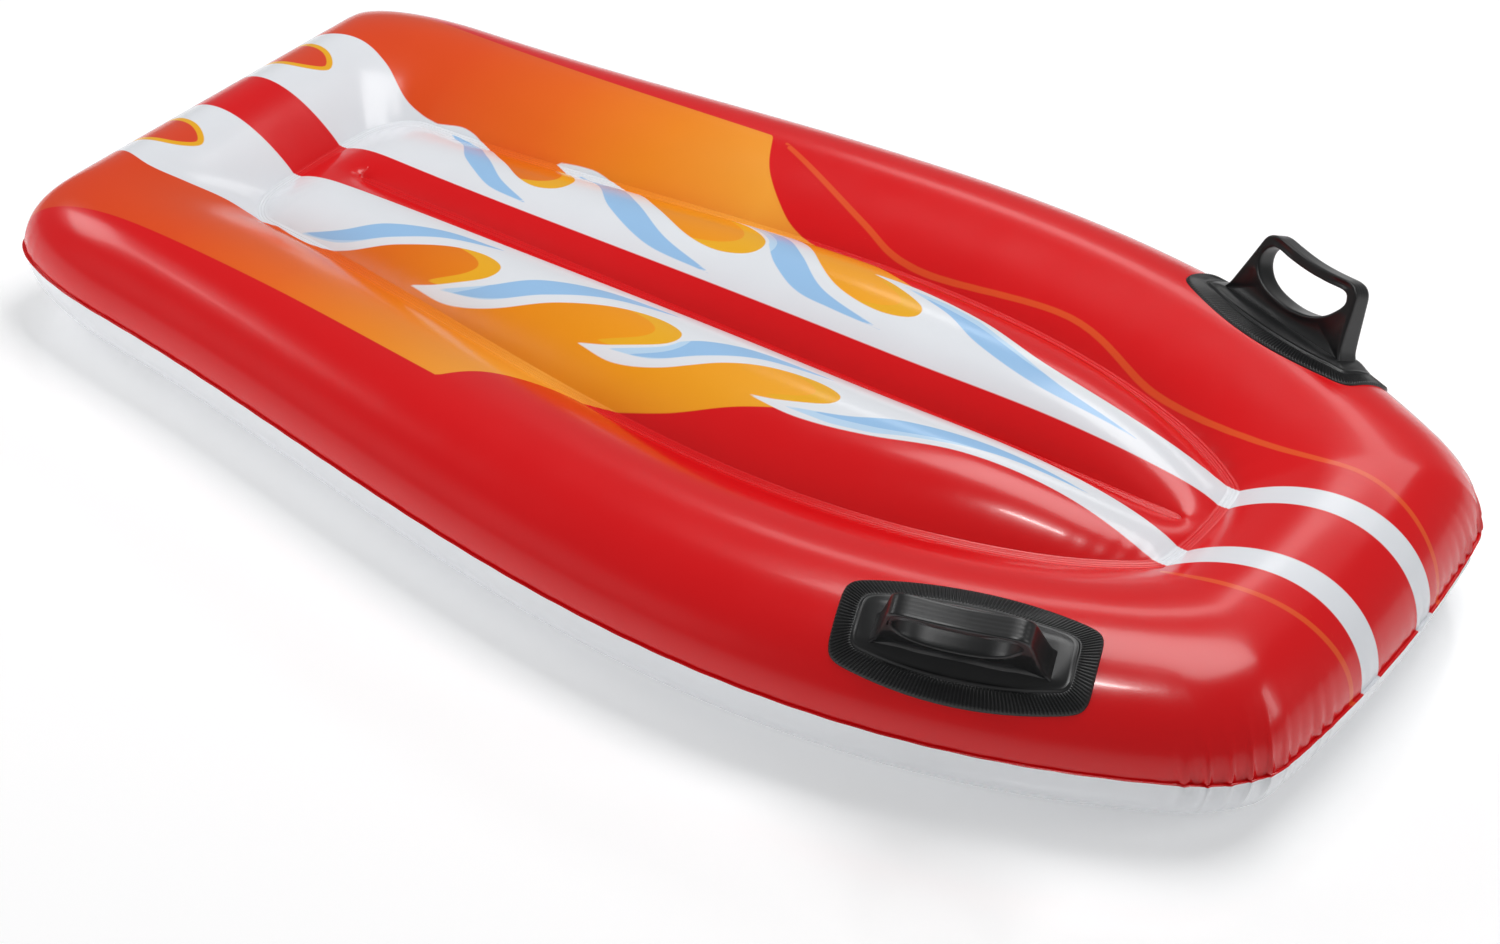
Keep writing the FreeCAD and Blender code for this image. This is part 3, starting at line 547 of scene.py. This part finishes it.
def tube_belly(rise):
    """how far the bottom film hangs below its chord when the tube is pressed on the ground"""
    depth = SEAM
    s = np.linspace(0, 1, 61)
    for _ in range(6):
        low = (SEAM - depth * swell(s, BOTTOM_POWER) + rise * s).min()
        depth += low + GROUND_PRESS
    return depth


def ring_film(side):
    """points of the ring's top (1) or bottom (-1) film, one row for each place round the outline"""
    rise = weld_height(inner[:, 0]) + side * FILM - SEAM
    f = np.clip((outer[:, 0] + LENGTH / 2) / LENGTH, 0, 1)
    if side > 0:
        high, power = RING_CREST + NOSE_EXTRA * np.clip(f * 2 - 1, 0, 1), TOP_POWER
    else:
        high, power = -np.array([tube_belly(r) for r in rise]), BOTTOM_POWER
    z = SEAM + high[:, None] * swell(shares, power) + rise[:, None] * shares
    flat = outer[:, None] + (inner - outer)[:, None] * shares[..., None]
    grid = np.concatenate([flat, z[..., None]], -1)
    normals = grid_normals(grid, True) * side
    reach = np.concatenate([np.zeros((len(grid), 1)),
                            np.cumsum(np.linalg.norm(np.diff(grid, axis=1), axis=2), axis=1)], 1)
    to_weld = reach[:, -1:] - reach
    near_seam = np.exp(-reach / 13) * (1 - np.exp(-reach / 2.5))
    near_weld = np.exp(-to_weld / 16) * (1 - np.exp(-to_weld / 3))
    s = arc_length(inner)
    bunch = 0.08 + 0.25 * corner_share(inner, -426, -396, 24) + 0.25 * corner_share(inner, 340, 412, 40)
    bunch *= ease((np.abs(inner[:, 1]) - 45) / 25)
    ripple = bunch * np.sin(2 * np.pi * s / 19 + 1.3 * np.sin(s / 43))
    amount = PUCKER_HEIGHT * seam_puckers()[:, None] * near_seam + 1.2 * ripple[:, None] * near_weld
    grid = grid + normals * amount[..., None]
    grid[..., 2] = np.maximum(grid[..., 2], 0)
    return grid


# Each valve's disc: its middle on the film, and its outward direction, which is the axis its stem slides on.
STEM_AXES = {joint["child"]: np.array(joint["axis"]) for joint in frame["joints"]
             if joint["type"] == "slide"}
RING_VALVE = (np.array([-464.82, 0, 24.146]), STEM_AXES["ring_stem"])
FLOOR_VALVE = (np.array([-298, 62, 64.961]), STEM_AXES["floor_stem"])
VALVE_HOLE, VALVE_LEVEL, VALVE_BLEND = 17.0, 20.0, 24.0
VALVE_REACH = 25.0


def open_for_valve(points, faces, base, normal):
    """lays the film level with the valve's disc and cuts a round hole that the disc covers"""
    offset = points - base
    high = offset @ normal
    flat = offset - high[:, None] * normal
    reach = np.maximum(np.linalg.norm(flat, axis=1), 1e-6)
    near = np.abs(high) < VALVE_REACH
    points = points - normal * (high * near * (1 - ease((reach - VALVE_LEVEL) / VALVE_BLEND)))[:, None]
    covered = near & (reach < VALVE_HOLE)
    points[covered] = base + (flat / reach[:, None])[covered] * VALVE_HOLE
    faces = faces[~covered[faces].all(axis=1)]
    used = np.unique(faces)
    return points[used], np.searchsorted(used, faces)


def add_film(name, grid, material, nodes, wrap=True, up=True, printed=True):
    faces = grid_faces(*grid.shape[:2], wrap)
    if not up:
        faces = faces[:, ::-1]
    points = grid.reshape(-1, 3)
    values = print_values(points) if printed else None
    return piece(name, points, faces, material, nodes, values=values)


ring_top = ring_film(1)
ring_bottom = ring_film(-1)
add_film("ring_top_film", ring_top, PRINT, ["ring_top_panel"], up=False)
under_points, under_faces = open_for_valve(ring_bottom.reshape(-1, 3),
                                           grid_faces(*ring_bottom.shape[:2], True), *RING_VALVE)
piece("ring_bottom_film", under_points, under_faces, UNDER, ["ring_bottom_panel"])


# ------------------------------------------------------------------ welds

def ribbon(start, finish, rows):
    """grid between two loops"""
    f = np.linspace(0, 1, rows)[None, :, None]
    return start[:, None] * (1 - f) + finish[:, None] * f


WELD_ROWS, WELD_SAG = 28, 0.5
RIDGES, RIDGE_HEIGHT, RIDGE_WIDTH = (2.0, 4.4, 6.8), 0.32, 0.55


def weld_band(side):
    """the flat weld between ring and floor, with the lines that its electrode leaves"""
    flat = ribbon(inner, floor_edge, WELD_ROWS)
    w = np.linspace(0, WELD_WIDTH, WELD_ROWS)[None, :]
    ridges = RIDGE_HEIGHT * sum(np.exp(-((w - at) / RIDGE_WIDTH) ** 2) for at in RIDGES)
    sag = -WELD_SAG * np.sin(np.pi * w / WELD_WIDTH)
    z = weld_height(flat[..., 0]) + side * (FILM + ridges + sag)
    return np.concatenate([flat, z[..., None]], -1)


add_film("ring_weld_top", weld_band(1), PRINT, ["ring_weld"], up=False)
add_film("ring_weld_under", weld_band(-1), UNDER, (), printed=False)

# The lip's section as (reach from the seam, height), from its top round to its underside.
LIP_TOP = ((0, 0.55), (0.8, 0.6), (2.2, 0.5), (2.6, 0.1))
LIP_SECTION = LIP_TOP + tuple((reach, -z) for reach, z in LIP_TOP[::-1])
LIP_TUCK = 0.3


def seam_lip():
    out = outward(outer)
    wave = 0.22 * np.sin(arc_length(outer) / 5.3) + 0.5 * seam_puckers()
    rows = []
    for reach, z in LIP_SECTION:
        height = SEAM + wave * reach / 3 + z
        rows.append(np.concatenate([outer + out * (reach - LIP_TUCK), height[:, None]], 1))
    return np.stack(rows, 1)


lip_grid = seam_lip()
add_film("seam_lip_top", lip_grid[:, :4], PRINT, ["perimeter_seam"])
add_film("seam_lip_under", lip_grid[:, 3:], UNDER, (), printed=False)


# ------------------------------------------------------------------ floor

def membrane(points, faces, fixed, load, rounds=3, cg_steps=300):
    """height of an inflated film over flat points, zero on the fixed ones

    Each round solves a stretched sheet's linear equation by conjugate gradients, then slackens the steep
    triangles, which brings the film towards one even curvature."""
    a, b, c = (points[faces[:, k]] for k in range(3))
    area2 = (b[:, 0] - a[:, 0]) * (c[:, 1] - a[:, 1]) - (b[:, 1] - a[:, 1]) * (c[:, 0] - a[:, 0])
    good = np.abs(area2) > 1e-6
    faces, a, b, c, area2 = faces[good], a[good], b[good], c[good], area2[good]
    grads = [np.stack([q[:, 1] - r[:, 1], r[:, 0] - q[:, 0]], 1) / area2[:, None]
             for q, r in ((b, c), (c, a), (a, b))]
    area = np.abs(area2) / 2
    n = len(points)
    corners = [faces[:, k] for k in range(3)]
    force = sum(np.bincount(k, area / 3 * load[k], n) for k in corners)
    free = ~fixed
    height, stiff = np.zeros(n), np.ones(len(faces))

    def slope(h):
        return sum(g * h[k][:, None] for k, g in zip(corners, grads))

    def pull(h):
        g = slope(h) * (area * stiff)[:, None]
        return sum(np.bincount(k, (g * grad).sum(1), n) for k, grad in zip(corners, grads)) * free

    for _ in range(rounds):
        diag = sum(np.bincount(k, (g * g).sum(1) * area * stiff, n) for k, g in zip(corners, grads))
        diag = np.where(free & (diag > 0), diag, 1)
        rest = (force - pull(height)) * free
        z = rest / diag
        way, size = z.copy(), (rest * z).sum()
        for _ in range(cg_steps):
            q = pull(way)
            step = size / max((way * q).sum(), 1e-30)
            height += step * way
            rest -= step * q
            z = rest / diag
            new = (rest * z).sum()
            if new < 1e-10:
                break
            way, size = z + way * (new / size), new
        stiff = 1 / np.sqrt(1 + (slope(height) ** 2).sum(1))
    return height


def refine(grid, factor, axis):
    """smooth in-between rows or columns"""
    g = np.moveaxis(grid, axis, 0)
    g = np.concatenate([[2 * g[0] - g[1]], g, [2 * g[-1] - g[-2]]])
    parts = [spline_between(g[:-3], g[1:-2], g[2:-1], g[3:], f) for f in np.arange(factor) / factor]
    fine = np.stack(parts, 1).reshape(-1, *g.shape[1:])
    return np.moveaxis(np.concatenate([fine, g[-2:-1]]), 0, axis)


def centre_ends():
    return floor_edge[:, 0].min() + CENTRE_FROM_TAIL, floor_edge[:, 0].max() - CENTRE_FROM_NOSE


def centre_width(x):
    """share of the middle weld's full width, which has round ends"""
    start, stop = centre_ends()
    return np.sqrt(np.clip(np.minimum(x - start, stop - x) / CENTRE_ROUND, 0, 1))


def floor_half_grid():
    """flat points of the left lobe, from its outline to the middle weld"""
    half = floor_edge[:len(floor_edge) // 2 + 1][::2].copy()
    half[0, 1] = half[-1, 1] = 0
    x = np.clip(half[:, 0], *centre_ends())
    spine = np.stack([x, CENTRE_HALF * centre_width(x)], 1)
    f = np.linspace(0, 1, 25)[None, :, None]
    return half[:, None] * (1 - f) + spine[:, None] * f


def lobe_height(flat):
    """rise of one lobe's film over its flat points, scaled so that its crest is at LOBE_PEAK"""
    rows, cols = flat.shape[:2]
    quads = grid_faces(rows, cols)
    triangles = np.concatenate([quads[:, [0, 1, 2]], quads[:, [0, 2, 3]]])
    points = flat.reshape(-1, 2)
    fixed = np.zeros((rows, cols), bool)
    fixed[:, 0] = fixed[:, -1] = True
    fuller_at_nose = 1 + 0.7 * ease((points[:, 0] - 120) / 230)
    load = fuller_at_nose / 60
    for _ in range(3):
        height = membrane(points, triangles, fixed.ravel(), load)
        load *= (LOBE_PEAK / height.max()) ** 0.8
    return height.reshape(rows, cols)


def edge_folds(flat):
    """small gathers of the lobe's film along its outer weld"""
    x, y = flat[:, 0].T
    along = arc_length(floor_edge)[:len(flat)]
    reach = np.linalg.norm(flat - flat[:, :1], axis=2)
    bunch = (0.06 + 0.3 * ease((-330 - x) / 60) + 0.35 * ease((x - 300) / 80)) * ease((y - 45) / 25)
    fold = (bunch * np.sin(2 * np.pi * along / 17 + 1.2 * np.sin(along / 47)))[:, None]
    return 0.7 * fold * np.exp(-reach / 15) * (1 - np.exp(-reach / 3))


lobe_flat = floor_half_grid()
lobe_rise = lobe_height(lobe_flat)
lobe_flat = refine(refine(lobe_flat, 2, 0), 3, 1)
lobe_rise = np.maximum(refine(refine(lobe_rise, 2, 0), 3, 1), 0)
lobe_rise = lobe_rise + edge_folds(lobe_flat)


def floor_film(side):
    """both lobes of the floor's top or bottom film, as points and faces"""
    z = weld_height(lobe_flat[..., 0]) + side * (FILM + lobe_rise)
    left = np.concatenate([lobe_flat, z[..., None]], -1)
    faces = grid_faces(*left.shape[:2])
    left = left.reshape(-1, 3)
    right = left * [1, -1, 1]
    count = len(left)
    both = np.concatenate([left, right])
    if side > 0:
        return both, np.concatenate([faces[:, ::-1], faces + count])
    return both, np.concatenate([faces, faces[:, ::-1] + count])


floor_points, floor_faces = floor_film(1)
piece("floor_top_film", floor_points, floor_faces, PRINT, ["floor_top_panel"],
      values=print_values(floor_points, True), weld=0.01)
under_points, under_faces = open_for_valve(*floor_film(-1), *FLOOR_VALVE)
piece("floor_bottom_film", under_points, under_faces, UNDER, ["floor_bottom_panel"],
      weld=0.01)


def centre_band(side):
    """the weld in the middle stripe, with its two pressed lines"""
    x = np.linspace(*centre_ends(), 260)
    half = CENTRE_HALF * centre_width(x) + 0.05
    y = half[:, None] * np.linspace(-1, 1, 22)[None, :]
    ridges = 0.35 * (np.exp(-((y - 1.2) / 0.45) ** 2) + np.exp(-((y + 1.2) / 0.45) ** 2))
    z = weld_height(x)[:, None] + side * (FILM + ridges)
    return np.stack([np.broadcast_to(x[:, None], y.shape), y, z], -1)


add_film("centre_weld_top", centre_band(1), PRINT, ["centre_weld"], wrap=False)
add_film("centre_weld_under", centre_band(-1), UNDER, (), wrap=False, up=False, printed=False)


# ------------------------------------------------------------------ handles

# The left handle's own plane, as the part has it: its centre, the way along it, and the way up from it.
HANDLE_CENTRE = np.array([348.0, 233.0, 114.55])
HANDLE_ALONG = np.array([0.94896, -0.31536, 0.00486])
HANDLE_NORMAL = np.array([0.11823, 0.36998, 0.92149])
HANDLE_ACROSS = np.cross(HANDLE_NORMAL, HANDLE_ALONG)
PAD_RISE = 2.8
PAD_HALF_LENGTH, PAD_HALF_WIDTH = 58.0, 12.0
PATCH_HALF, PATCH_END, PATCH_MID = 89.0, 29.0, 43.0
FIT_DEGREE, FIT_SCALE = 7, 50.0


def local_surface():
    """height of the ring film over the handle's flat plane, as a smooth function"""
    points = ring_top.reshape(-1, 3) - HANDLE_CENTRE
    a, c, n = points @ HANDLE_ALONG, points @ HANDLE_ACROSS, points @ HANDLE_NORMAL
    near = (np.abs(a) < 105) & (np.abs(c) < 62) & (n > -60)
    powers = [(i, j) for i in range(FIT_DEGREE) for j in range(FIT_DEGREE - i)]

    def terms(a, c):
        return np.stack([(a / FIT_SCALE) ** i * (c / FIT_SCALE) ** j for i, j in powers], -1)

    weights = np.linalg.lstsq(terms(a[near], c[near]), n[near], rcond=None)[0]
    return lambda a, c: terms(a, c) @ weights


surface = local_surface()


def to_board(a, c, n, side):
    """handle coordinates to the board's, for the left (1) or right (-1) handle"""
    p = (HANDLE_CENTRE + a[..., None] * HANDLE_ALONG + c[..., None] * HANDLE_ACROSS
         + n[..., None] * HANDLE_NORMAL)
    return p * [1, side, 1]


def even_loop(points, count):
    """closed path resampled to evenly spaced points"""
    closed = np.concatenate([points, points[:1]])
    s = np.concatenate([[0], np.cumsum(np.linalg.norm(np.diff(closed, axis=0), axis=1))])
    at = np.linspace(0, s[-1], count, endpoint=False)
    return np.stack([np.interp(at, s, closed[:, k]) for k in range(closed.shape[1])], 1)


RIBS, RIB_POINTS = 176, 8
RIB_HEIGHT, RIM_WIDTH = 1.15, 13.4
CORNER_SOFTNESS = 7 / 460


def patch_outline():
    """closed outline of the patch, widest at its middle, with round corners"""
    a = np.linspace(-PATCH_HALF, PATCH_HALF, 200)
    width = PATCH_MID + (PATCH_END - PATCH_MID) * (a / PATCH_HALF) ** 2
    path = np.concatenate([np.stack([a, width], 1), np.stack([a, -width], 1)[::-1]])
    count = RIBS * RIB_POINTS
    return smooth_loop(even_loop(path, count), CORNER_SOFTNESS * count)


# The patch's section from its rim inward: distance from the rim, and height above the ring film.
PATCH_SECTION = [(0, -0.6), (0.05, 0.6), (0.5, 1.5), (1.2, 1.7), (2.2, 1.7)]
PATCH_SECTION += [(d, 1.7) for d in (4, 6, 8, 10, 12)]
PATCH_SECTION += [(13.2, 1.6), (13.8, 1.2), (14.4, 1.5), (15.0, 2.5), (15.6, 2.5), (16.4, 1.9), (18, 2.2)]
PATCH_SECTION += [(d, 2.4) for d in (*range(20, 41, 2), 41.5, 43)]


def add_patch(side, word):
    """the welded patch: a ribbed rim, a fine bead and a raised pad under the grip"""
    loop = patch_outline()
    depth, lift = np.array(PATCH_SECTION).T
    a = loop[:, :1] * (1 - depth / PATCH_HALF)
    c = loop[:, 1:] * (1 - depth / PATCH_MID)
    rib = 0.5 + 0.5 * np.cos(2 * np.pi * np.arange(len(loop)) / RIB_POINTS)
    on_rim = ease((depth - 0.4) / 0.9) * ease((RIM_WIDTH - depth) / 0.8)
    height = surface(a, c) + lift + RIB_HEIGHT * rib[:, None] * on_rim - 0.35 * on_rim
    gap = np.hypot(np.maximum(np.abs(a) - PAD_HALF_LENGTH, 0) / 20,
                   np.maximum(np.abs(c) - PAD_HALF_WIDTH, 0) / 14)
    pad = 1 - ease(gap)
    height = height * (1 - pad) + (PAD_RISE + 0.3) * pad
    grid = to_board(a, c, height, side)
    faces = grid_faces(*grid.shape[:2], True)
    if side > 0:
        faces = faces[:, ::-1]
    none = np.zeros(height.size)
    numbers = {"across": none, "on_bar": none}
    piece("handle_%s_patch" % word, grid.reshape(-1, 3), faces, BLACK, ["handle_%s_base" % word],
          values=numbers, weld=0.02)


GRIP_POINTS = 360
GRIP_HALF = 11.0
OPENING_MIDDLE = np.array([0.0, 31.0])


def grip_loops():
    """outer and inner outline of the grip, along and up"""
    side_up = run((63.5, -3), (60.5, 1.5), (58.6, 5), (56.8, 12), (54.8, 22), (52.6, 34), (50.6, 44))
    corner = run((50.6, 44), (49.2, 48.6), (46, 52.3), (41.5, 54.3), (36, 54.7))
    crown = run((36, 54.7), (24, 53.4), (12, 52.4), (0, 52), (-12, 52.4), (-24, 53.4), (-36, 54.7))
    right = np.concatenate([side_up, corner[1:], crown[1:-1]])
    left = np.concatenate([side_up, corner[1:]]) * [-1, 1]
    bottom = run((-63.5, -3), (-30, -3), (0, -3), (30, -3), (63.5, -3))
    outer_path = np.concatenate([right, left[::-1], bottom[1:-1]])
    inner_path = np.concatenate([
        run((42.5, 42), (40, 45.6), (34, 46.6), (20, 45), (0, 44), (-20, 45), (-32, 46.6), (-39, 46)),
        run((-39, 46), (-43.5, 42), (-45.2, 36), (-43, 28), (-36, 20.5), (-25, 15.5), (-10, 13.2), (5, 13.4),
            (20, 16.6), (32, 23), (40, 32), (43, 38), (42.5, 42))[1:-1]])
    outer_path = smooth_loop(even_loop(outer_path, GRIP_POINTS * 4), 5)
    inner_path = smooth_loop(even_loop(inner_path, GRIP_POINTS * 4), 8)
    return outer_path, inner_path


def matched(outer_path, inner_path):
    """points of both outlines paired by direction from the middle of the opening"""
    pairs = []
    for path in (outer_path, inner_path):
        turn = np.arctan2(*(path - OPENING_MIDDLE).T[::-1]) % (2 * np.pi)
        order = np.argsort(turn)
        turn, path = turn[order], path[order]
        at = np.linspace(0, 2 * np.pi, GRIP_POINTS, endpoint=False)
        pairs.append(np.stack([np.interp(at, turn, path[:, k], period=2 * np.pi) for k in range(2)], 1))
    return pairs


def grip_section(out, hole):
    """rows of (outline, distance across) once round the loop's section, and how many lie on its outside

    Each row of a face is (inset from its outline, drop at the rounded edge, 1 where the web is hollowed)."""
    gap = np.linalg.norm(hole - out, axis=1, keepdims=True)
    way = (hole - out) / gap
    web = 0.9 * ease((gap[:, 0] - 11) / 8)
    from_outside = ((0, 1.8, 0), (0.25, 0.9, 0), (0.9, 0.25, 0), (1.8, 0, 0), (3.2, 0, 0), (4.2, 0, 1))
    from_opening = ((-3.8, 0, 1), (-2.8, 0, 0), (-1.6, 0, 0), (-0.8, 0.25, 0), (-0.2, 0.9, 0), (0, 1.8, 0))
    face = []
    for path, rows in ((out, from_outside), (hole, from_opening)):
        face += [(path + way * inset, GRIP_HALF - drop - hollow * web) for inset, drop, hollow in rows]
    inside = [(hole, np.full(len(hole), c)) for c in (6.0, 2.0, -2.0, -6.0)]
    back = [(path, -c) for path, c in face[::-1]]
    outside = [(out, np.full(len(out), c)) for c in (-7.0, -4.0, 0.0, 4.0, 7.0)]
    return face + inside + back + outside, len(outside)


def add_grip(side, word, lean, shift):
    """the loop; the soft moulding leans outward by a small angle and stands a little off its centre line"""
    section, outside_rows = grip_section(*matched(*grip_loops()))
    a = np.stack([path[:, 0] for path, _ in section], 1)
    up = np.stack([path[:, 1] for path, _ in section], 1)
    across = np.stack([c for _, c in section], 1)
    top_share = ease(up / 50)
    a = a * (1 - 0.025 * top_share) + 1.4 * top_share
    across = across * (1 + 0.05 * np.exp(-np.maximum(up, 0) / 3.0) - 0.22 * ease((up - 4) / 50))
    c = across * np.cos(lean) + np.maximum(up, 0) * np.sin(lean) + shift
    up = up * np.cos(lean)
    grid = to_board(a, c, up + PAD_RISE, side)
    faces = grid_faces(grid.shape[0], grid.shape[1] + 1, True)
    if side < 0:
        faces = faces[:, ::-1]
    is_outer = np.zeros(across.shape[1])
    is_outer[-outside_rows:] = 1
    is_outer[0] = 1
    on_top = ease((up - 46) / 4) * is_outer

    def closed(rows):
        return np.concatenate([rows, rows[:, :1]], 1)

    numbers = {"across": closed(across).ravel(), "on_bar": closed(on_top).ravel()}
    piece("handle_%s_loop" % word, closed(grid).reshape(-1, 3), faces, BLACK, ["handle_%s_grip" % word],
          values=numbers, weld=0.01)


for side, word, lean, shift in ((1, "left", 0, -1), (-1, "right", 7, 5.5)):
    add_patch(side, word)
    add_grip(side, word, math.radians(lean), shift)


# ------------------------------------------------------------------ valves keep their CAD shape

for name, obj in frame["nodes"].items():
    if "_valve_" in name:
        for k in range(len(obj.material_slots)):
            obj.material_slots[k].material = VALVE


# ------------------------------------------------------------------ stage, light and camera

def stage_floor():
    mesh = bpy.data.meshes.new("stage_floor")
    mesh.from_pydata([(-9, -9, 0), (9, -9, 0), (9, 9, 0), (-9, 9, 0)], [], [(0, 1, 2, 3)])
    obj = bpy.data.objects.new("stage_floor", mesh)
    obj.location.z = -0.0006
    bpy.context.scene.collection.objects.link(obj)
    shader = Shader("stage_white", Base_Color=(0.95, 0.95, 0.955, 1), Roughness=0.16,
                    Specular_IOR_Level=0.45, Emission_Color=(1, 1, 1, 1), Emission_Strength=0.18)
    mesh.materials.append(shader.material)


def area_light(name, place, aim, size, power, **seen_by):
    """a rectangular light; seen_by holds the kinds of ray that it stays out of"""
    data = bpy.data.lights.new(name, "AREA")
    data.shape = "RECTANGLE"
    data.size, data.size_y = size
    data.energy = power
    obj = bpy.data.objects.new(name, data)
    obj.location = place
    obj.rotation_euler = (Vector(aim) - Vector(place)).to_track_quat("-Z", "Y").to_euler()
    for kind, seen in seen_by.items():
        setattr(obj, kind, seen)
    bpy.context.scene.collection.objects.link(obj)


def add_world(strength):
    world = bpy.data.worlds.new("studio")
    world.use_nodes = True
    background = world.node_tree.nodes["Background"]
    background.inputs["Color"].default_value = (1, 1, 1, 1)
    background.inputs["Strength"].default_value = strength
    bpy.context.scene.world = world


stage_floor()
add_world(0.24)
# The lobe streak is only there as a reflection, and the side fill only as soft light on the white sides.
area_light("overhead", (0.2, 0.9, 2.8), (0, 0, 0), (2.2, 1.3), 51)
area_light("far_strip", (-0.3, 2.6, 1.9), (0, 0, 0.05), (2.4, 0.4), 9)
area_light("lobe_streak", (0.60, -0.75, 2.2), (0.60, 0, 0.1), (0.5, 0.07), 12, visible_diffuse=False)
area_light("side_fill", (-1.6, -2.2, 0.8), (0, 0, 0.05), (2.4, 0.9), 22, visible_glossy=False)
area_light("tail_box", (-2.3, -0.5, 1.5), (-0.3, 0, 0.05), (0.7, 0.7), 8)
area_light("nose_strip", (2.5, 0.7, 1.3), (0.3, 0, 0.05), (0.35, 1.4), 8)


def add_camera():
    """camera from its place and aim in millimetres, turned a little about its own line of sight"""
    place, aim = np.array([1084.4, -1606.5, 1417.7]), np.array([82.9, -119.6, 56.0])
    roll = math.radians(2.27)
    look = unit(aim - place)
    right = unit(np.cross(look, [0, 0, 1]))
    up = np.cross(right, look)
    tilted_right = math.cos(roll) * right + math.sin(roll) * up
    tilted_up = -math.sin(roll) * right + math.cos(roll) * up
    data = bpy.data.cameras.new("camera")
    data.sensor_width = 36
    data.lens = 73.57
    data.shift_x, data.shift_y = 0.0106, 0.0057
    data.clip_end = 60
    obj = bpy.data.objects.new("camera", data)
    turn = Matrix((tilted_right, tilted_up, -look)).transposed()
    obj.matrix_world = Matrix.Translation(Vector(place * MM)) @ turn.to_4x4()
    bpy.context.scene.collection.objects.link(obj)
    bpy.context.scene.camera = obj


add_camera()
bpy.context.scene.view_settings.view_transform = "Standard"
